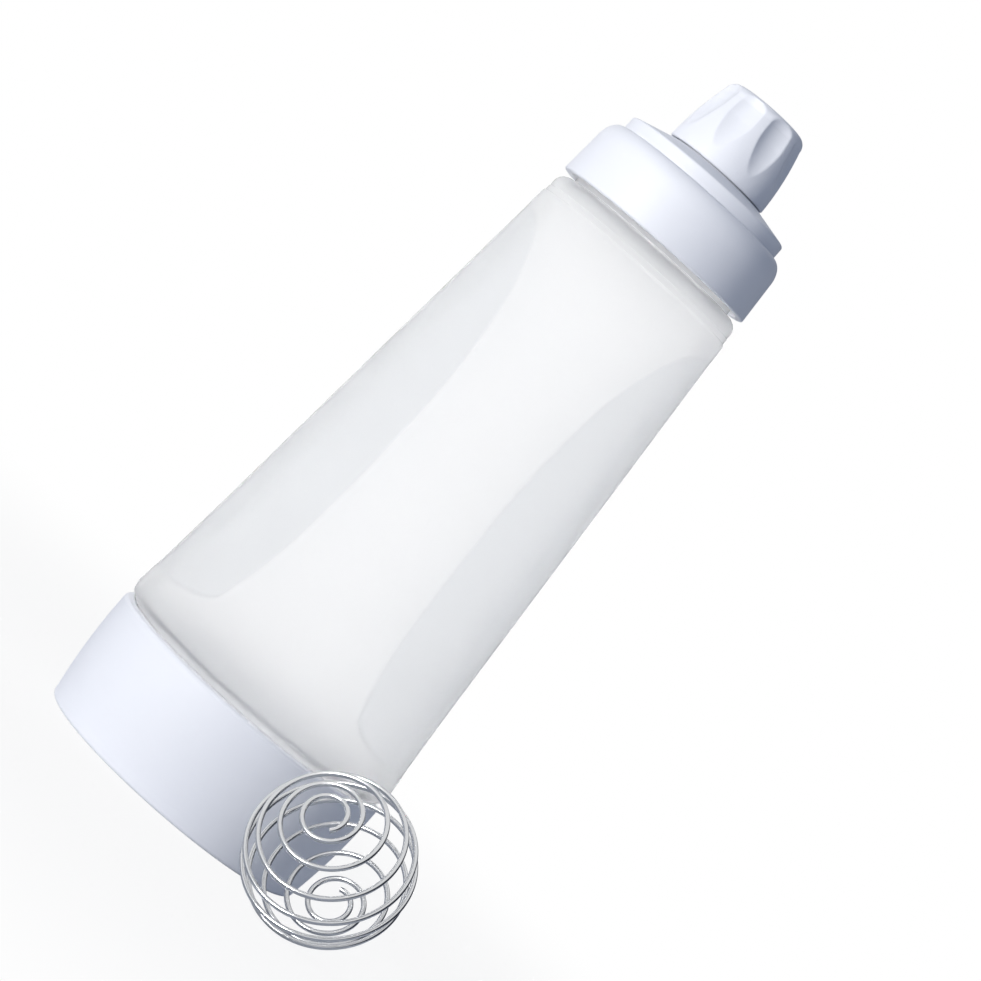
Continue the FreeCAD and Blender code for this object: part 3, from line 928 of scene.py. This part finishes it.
class DISPENSER_OT_nozzle_cap(bpy.types.Operator):
    """Turn the nozzle cap and scoop its flutes"""
    bl_idname = "dispenser.nozzle_cap"
    bl_label = "Nozzle cap"

    def execute(self, context):
        settings = context.scene.dispenser_cap
        radius = settings.flute_radius / MM
        top_radius = 15.8
        bulge = 0.7
        edge_round = 3.6
        edge_z = CAP_TOP - edge_round
        point_z = CAP_LOW + 5.4
        deep_z = CAP_LOW + 17.0
        depth_here = settings.flute_depth / MM
        pitch = 2 * math.pi / settings.flutes

        def fluted(r, z, angle):
            if z < point_z - 2:
                return r, 0
            off = (angle - settings.first_flute + pitch / 2) % pitch - pitch / 2
            rise = (z - point_z) / (deep_z - point_z)
            if rise <= 0:
                depth = depth_here * 1.4 * rise
            elif rise < 1:
                depth = depth_here * (1 - (1 - rise) ** 1.25)
            else:
                depth = depth_here * (1 - 0.3 * ((z - deep_z) / (CAP_TOP - deep_z)) ** 2)
            centre = wall_radius(z) - depth + radius
            side = centre * math.sin(off)
            if abs(side) >= radius:
                return r, 0
            scoop = centre * math.cos(off) - math.sqrt(radius ** 2 - side ** 2)
            return soft_min(r, scoop, 0.16), 0

        def wall_radius(z):
            t = min(1.0, (z - CAP_LOW) / (edge_z - CAP_LOW))
            return mix(CAP_RADIUS, top_radius, t) + bulge * 4 * t * (1 - t)

        upper_bore = 13.4
        corners = [(0, CAP_ROOF), (upper_bore, CAP_ROOF, 0.5), (upper_bore, CAP_LOW + 11.6, 1.0),
                   (CAP_BORE, CAP_LOW + 7.6, 1.0), (CAP_BORE, CAP_LOW, 0.4),
                   (CAP_RADIUS, CAP_LOW, 0.6)]
        for k in range(1, 60):
            z = mix(CAP_LOW, edge_z, k / 60)
            corners.append((wall_radius(z), z))
        for k in range(10):
            bearing = math.pi / 2 * k / 9
            corners.append((top_radius - edge_round * (1 - math.cos(bearing)),
                            edge_z + edge_round * math.sin(bearing)))
        corners.append((0, CAP_TOP))
        cap = lathe("nozzle_cap_shell", rounded(corners), even_angles(320), fluted)
        settle(cap, "cap", bpy.data.materials["white plastic"], ["nozzle_cap"])
        add_thread("nozzle_cap_thread", "cap", "white plastic", CAP_BORE, -1,
                   CAP_THREAD, CAP_RIDGE - below_mate(CAP_THREAD))
        return {"FINISHED"}


class DISPENSER_OT_seals(bpy.types.Operator):
    """Turn the two seal rings and the cap's liner"""
    bl_idname = "dispenser.seals"
    bl_label = "Seals"

    def execute(self, context):
        rings = (("base_seal", CUP_LEDGE, CUP_BORE - 0.3),
                 ("lid_seal", NECK_RADIUS - 2.2, LID_BORE - 0.3),
                 ("cap_seal", 0.0, 13.0))
        for node, inner, outer in rings:
            bottom, top = low(node), high(node)
            inner_round = 0.3 if inner else 0
            corners = [(inner, bottom, inner_round), (outer, bottom, 0.4), (outer, top, 0.4),
                       (inner, top, inner_round)]
            ring = lathe(node + "_ring", rounded(corners, closed=bool(inner)), even_angles(120))
            settle(ring, node, bpy.data.materials["seal silicone"], [node])
        return {"FINISHED"}


class DISPENSER_OT_whisk_ball(bpy.types.Operator):
    """Wind the whisk ball from one wire"""
    bl_idname = "dispenser.whisk_ball"
    bl_label = "Whisk ball"

    def execute(self, context):
        settings = context.scene.dispenser_wire
        ball_radius = 27.3 * MM
        centre_height = 27.06 * MM
        gap_to_cup = 5.46 * MM
        bearing = math.radians(-55.56)
        lean = math.radians(43.8)
        tip = math.radians(58.5)
        reach = CUP_RADIUS * MM + gap_to_cup + ball_radius
        shift = 1.1 * MM
        centre = Vector((math.cos(bearing) * reach + shift, math.sin(bearing) * reach,
                         centre_height))
        camera = Vector((CAMERA_SIDE, -CAMERA_DISTANCE, CAMERA_HEIGHT))
        front = (camera - centre).normalized()
        upright = Vector((-math.sin(lean), 0, math.cos(lean)))
        upright = (upright - front * upright.dot(front)).normalized()
        axis = upright * math.cos(tip) + front * math.sin(tip)
        down = front * math.cos(tip) - upright * math.sin(tip)
        wire = grown("whisk_ball_wire", wire_tree(), {
            "Centre": tuple(centre),
            "Axis": tuple(axis),
            "Down": tuple(down),
            "Across": tuple(axis.cross(down)),
            "Radius": ball_radius - settings.wire / 2,
            "Wire radius": settings.wire / 2,
            "Turns": settings.turns,
            "Pole angle": settings.pole_angle,
            "Start angle": settings.start_angle,
            "Steps": 1000,
            "Sides": 16,
            "Material": bpy.data.materials["polished steel"],
        })
        settle(wire, "whisk", None, ["whisk_ball"])
        return {"FINISHED"}


# Stage


def seen_directly(tree):
    """1 for rays that show a surface to the camera, straight or through the bottle."""
    path = tree.add("ShaderNodeLightPath")
    return tree.math("MAXIMUM", path.outputs["Is Camera Ray"], path.outputs["Is Transmission Ray"])


FLOOR_RADIUS = 12.0
SHADOW_REACH = 0.12
WHITE_FROM = 0.5


def make_floor():
    """A wide pale floor that keeps a soft shadow near the object and is white further out."""
    mesh = bmesh.new()
    bmesh.ops.create_circle(mesh, cap_ends=True, radius=FLOOR_RADIUS, segments=96)
    floor = finished_mesh("studio_floor", mesh)
    material = bpy.data.materials.new("studio floor")
    material.use_nodes = True
    material.node_tree.nodes.clear()
    tree = Tree(material.node_tree)
    paper = tree.add("ShaderNodeBsdfDiffuse", {"Color": (0.82, 0.83, 0.85, 1)})
    white = tree.add("ShaderNodeEmission", {"Color": (1, 1, 1, 1), "Strength": 1.0})
    place = tree.add("ShaderNodeTexCoord").outputs["Object"]
    distance = tree.add("ShaderNodeVectorMath", {0: place}, operation="LENGTH").outputs["Value"]
    plain = tree.spread(distance, SHADOW_REACH, WHITE_FROM, 0.9, 1.0, smooth=True)
    share = tree.math("MULTIPLY", plain, seen_directly(tree))
    shown = tree.add("ShaderNodeMixShader", {0: share, 1: paper, 2: white})
    out = tree.add("ShaderNodeOutputMaterial")
    tree.put(out.inputs["Surface"], shown)
    floor.data.materials.append(material)


def add_light(name, place, aim, size, power, colour):
    data = bpy.data.lights.new(name, "AREA")
    data.shape = "DISK"
    data.size = size
    data.energy = power
    data.color = colour
    lamp = bpy.data.objects.new(name, data)
    bpy.context.scene.collection.objects.link(lamp)
    way = Vector(aim) - Vector(place)
    turn = way.to_track_quat("-Z", "Y").to_matrix().to_4x4()
    lamp.matrix_world = Matrix.Translation(place) @ turn


KEY_PLACE = (-0.8, -1.07, 0.34)
KEY_AIM = (0, 0, 0.05)
KEY_SIZE = 0.4
KEY_COLOUR = (1, 0.985, 0.96)
# Directions from which the sky's soft light, its back light and its mirrored light come
LIT_FROM = (-0.5, -0.75, 0.4)
BACK_FROM = (0.0, 0.9, 0.44)
MIRRORED_FROM = (-0.75, -0.1, 0.65)
MIRRORED_DARK = (0.03, 0.035, 0.05)


class DISPENSER_OT_stage(bpy.types.Operator):
    """Set the floor, the lights, the world and the camera"""
    bl_idname = "dispenser.stage"
    bl_label = "Stage"

    def execute(self, context):
        scene = context.scene
        settings = scene.dispenser_stage
        make_floor()
        add_light("key_light", KEY_PLACE, KEY_AIM, KEY_SIZE, settings.key_power, KEY_COLOUR)
        world = bpy.data.worlds.new("Studio")
        scene.world = world
        world.use_nodes = True
        world.node_tree.nodes.clear()
        tree = Tree(world.node_tree)
        way = tree.add("ShaderNodeTexCoord").outputs["Generated"]
        share = self.towards(tree, way, LIT_FROM, -0.7, 0.5)
        ambient = self.sky(tree, share, settings.ambient_dark, settings.ambient)
        share = self.towards(tree, way, BACK_FROM, 0.55, 1.0)
        back = (*settings.ambient_back, 1)
        soft = tree.add("ShaderNodeBackground", {"Color": back, "Strength": 1.0})
        ambient = tree.add("ShaderNodeMixShader", {0: share, 1: ambient, 2: soft})
        share = self.towards(tree, way, MIRRORED_FROM, -0.12, 0.3)
        mirrored = self.sky(tree, share, MIRRORED_DARK, (1, 1, 1))
        white = tree.add("ShaderNodeBackground", {"Color": (1, 1, 1, 1), "Strength": 1.0})
        path = tree.add("ShaderNodeLightPath")
        with_gloss = tree.add("ShaderNodeMixShader", {
            0: path.outputs["Is Glossy Ray"], 1: ambient, 2: mirrored})
        shown = tree.add("ShaderNodeMixShader", {0: seen_directly(tree), 1: with_gloss, 2: white})
        out = tree.add("ShaderNodeOutputWorld")
        tree.put(out.inputs["Surface"], shown)
        scene.view_settings.view_transform = "Standard"
        self.add_camera(scene, settings)
        return {"FINISHED"}

    def towards(self, tree, way, side, dark_end, light_end):
        """0 to 1 as the direction turns towards one side."""
        facing = tree.add("ShaderNodeVectorMath", {0: way, 1: side}, operation="DOT_PRODUCT")
        return tree.spread(facing.outputs["Value"], dark_end, light_end, 0.0, 1.0, smooth=True)

    def sky(self, tree, share, dark, light):
        """Background that is dark on one side and light on the other."""
        colour = tree.add("ShaderNodeMix", {"Factor": share}, data_type="RGBA")
        colour.inputs[6].default_value = (*dark, 1)
        colour.inputs[7].default_value = (*light, 1)
        return tree.add("ShaderNodeBackground", {"Color": colour.outputs[2], "Strength": 1.0})

    def add_camera(self, scene, settings):
        data = bpy.data.cameras.new("Camera")
        data.sensor_width = 36.0
        data.lens_unit = "FOV"
        data.angle = settings.view_angle
        data.clip_start = 0.01
        camera = bpy.data.objects.new("Camera", data)
        scene.collection.objects.link(camera)
        place = Vector((CAMERA_SIDE, -settings.distance, CAMERA_HEIGHT))
        look = (Vector((CAMERA_SIDE, 0, AIM_HEIGHT)) - place).normalized()
        upright = Vector((-math.sin(settings.roll), 0, math.cos(settings.roll)))
        right = look.cross(upright).normalized()
        upward = right.cross(look)
        turn = Matrix((right, upward, -look)).transposed()
        camera.matrix_world = Matrix.Translation(place) @ turn.to_4x4()
        scene.camera = camera


OPERATORS = (
    DISPENSER_OT_materials,
    DISPENSER_OT_base_cup,
    DISPENSER_OT_bottle,
    DISPENSER_OT_lid,
    DISPENSER_OT_nozzle_cap,
    DISPENSER_OT_seals,
    DISPENSER_OT_whisk_ball,
    DISPENSER_OT_stage,
)


class DISPENSER_PT_panel(bpy.types.Panel):
    """Lists the steps that build the dispenser"""
    bl_idname = "DISPENSER_PT_panel"
    bl_label = "Batter dispenser"
    bl_space_type = "VIEW_3D"
    bl_region_type = "UI"
    bl_category = "Dispenser"

    def draw(self, context):
        for name, group in SETTINGS.items():
            box = self.layout.box()
            for key in group.__annotations__:
                box.prop(getattr(context.scene, name), key)
        for operator in OPERATORS:
            self.layout.operator(operator.bl_idname)


def register():
    for name, group in SETTINGS.items():
        bpy.utils.register_class(group)
        setattr(bpy.types.Scene, name, PointerProperty(type=group))
    for operator in OPERATORS:
        bpy.utils.register_class(operator)
    bpy.utils.register_class(DISPENSER_PT_panel)


def unregister():
    bpy.utils.unregister_class(DISPENSER_PT_panel)
    for operator in reversed(OPERATORS):
        bpy.utils.unregister_class(operator)
    for name, group in SETTINGS.items():
        delattr(bpy.types.Scene, name)
        bpy.utils.unregister_class(group)


def main():
    register()
    bpy.ops.dispenser.materials()
    bpy.ops.dispenser.base_cup()
    bpy.ops.dispenser.bottle()
    bpy.ops.dispenser.lid()
    bpy.ops.dispenser.nozzle_cap()
    bpy.ops.dispenser.seals()
    bpy.ops.dispenser.whisk_ball()
    bpy.ops.dispenser.stage()


if __name__ == "__main__":
    main()
